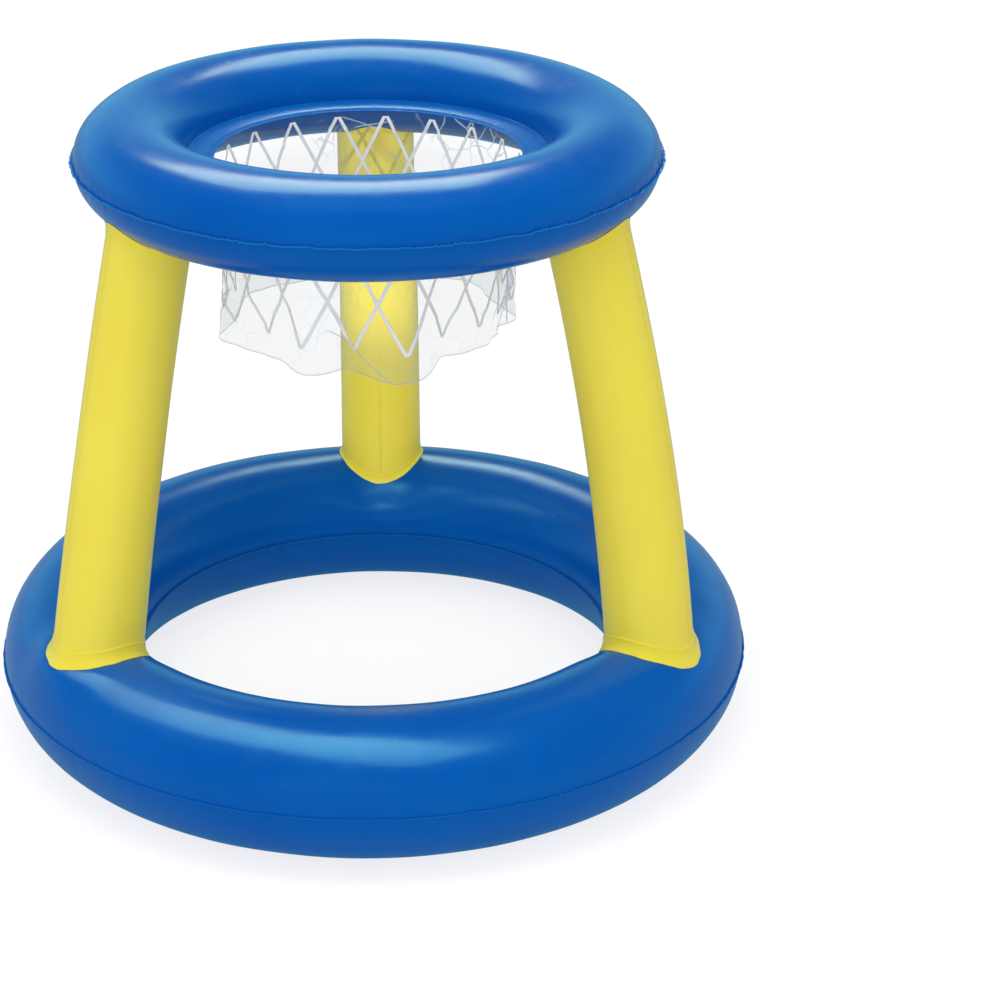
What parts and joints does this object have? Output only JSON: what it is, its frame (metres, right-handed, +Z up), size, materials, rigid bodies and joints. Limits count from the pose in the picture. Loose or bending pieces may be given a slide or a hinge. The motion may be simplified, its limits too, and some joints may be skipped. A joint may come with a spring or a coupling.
{
  "type": "inflatable pool basketball hoop",
  "caption": "Floating inflatable hoop: a wide base ring, leaning inflated legs, a smaller hoop ring on top and a clear film skirt printed as a net.",
  "frame": {"origin": "on the floor, at the middle of the base ring", "axes": "+Z up through both rings; +Y points to the rear leg; the open front between the left and right legs faces -Y"},
  "size_m": [0.6082, 0.61, 0.5074],
  "materials": {
    "blue_film": "soft gloss PVC film, inflated",
    "yellow_film": "satin PVC film, inflated",
    "clear_film": "clear glossy PVC film with a white printed net",
    "valve_vinyl": "milky clear soft vinyl"
  },
  "bodies": {
    "root": {"base_ring_upper_panel": "blue_film", "base_ring_lower_panel": "blue_film", "hoop_ring_upper_panel": "blue_film", "hoop_ring_lower_panel": "blue_film", "rear_leg_left_panel": "yellow_film", "rear_leg_right_panel": "yellow_film", "rear_leg_foot_collar": "yellow_film", "rear_leg_top_collar": "yellow_film", "left_leg_left_panel": "yellow_film", "left_leg_right_panel": "yellow_film", "left_leg_foot_collar": "yellow_film", "left_leg_top_collar": "yellow_film", "right_leg_left_panel": "yellow_film", "right_leg_right_panel": "yellow_film", "right_leg_foot_collar": "yellow_film", "right_leg_top_collar": "yellow_film", "net_skirt": "clear_film", "base_valve_collar": "valve_vinyl", "hoop_valve_collar": "valve_vinyl"},
    "base_valve_stem": {"base_valve_stem": "valve_vinyl"},
    "base_valve_stopper": {"base_valve_stopper": "valve_vinyl"},
    "base_valve_flap": {"base_valve_flap": "valve_vinyl"},
    "hoop_valve_stem": {"hoop_valve_stem": "valve_vinyl"},
    "hoop_valve_stopper": {"hoop_valve_stopper": "valve_vinyl"},
    "hoop_valve_flap": {"hoop_valve_flap": "valve_vinyl"}
  },
  "joints": [
    {"name": "base_valve_stem_slide", "type": "slide", "parent": "root", "child": "base_valve_stem", "axis": [0, 0, 1], "range_m": [0, 0.009]},
    {"name": "base_valve_stopper_hinge", "type": "hinge", "parent": "base_valve_stem", "child": "base_valve_stopper", "pos_m": [-0.23716, 0.09823, 0.11694], "axis": [-0.3827, -0.9239, 0], "range_deg": [0, 150]},
    {"name": "base_valve_flap_hinge", "type": "hinge", "parent": "base_valve_stem", "child": "base_valve_flap", "pos_m": [-0.23494, 0.09732, 0.09449], "axis": [0.3827, 0.9239, 0], "range_deg": [0, 60], "stiffness_Nm_per_rad": 0.00002, "springref_deg": -17.19},
    {"name": "hoop_valve_stem_slide", "type": "slide", "parent": "root", "child": "hoop_valve_stem", "axis": [0, 0, -1], "range_m": [0, 0.009]},
    {"name": "hoop_valve_stopper_hinge", "type": "hinge", "parent": "hoop_valve_stem", "child": "hoop_valve_stopper", "pos_m": [0.16602, 0.09585, 0.4299], "axis": [0.5, -0.866, 0], "range_deg": [0, 150]},
    {"name": "hoop_valve_flap_hinge", "type": "hinge", "parent": "hoop_valve_stem", "child": "hoop_valve_flap", "pos_m": [0.16394, 0.09465, 0.45235], "axis": [-0.5, 0.866, 0], "range_deg": [0, 60], "stiffness_Nm_per_rad": 0.00002, "springref_deg": -17.19}
  ]
}
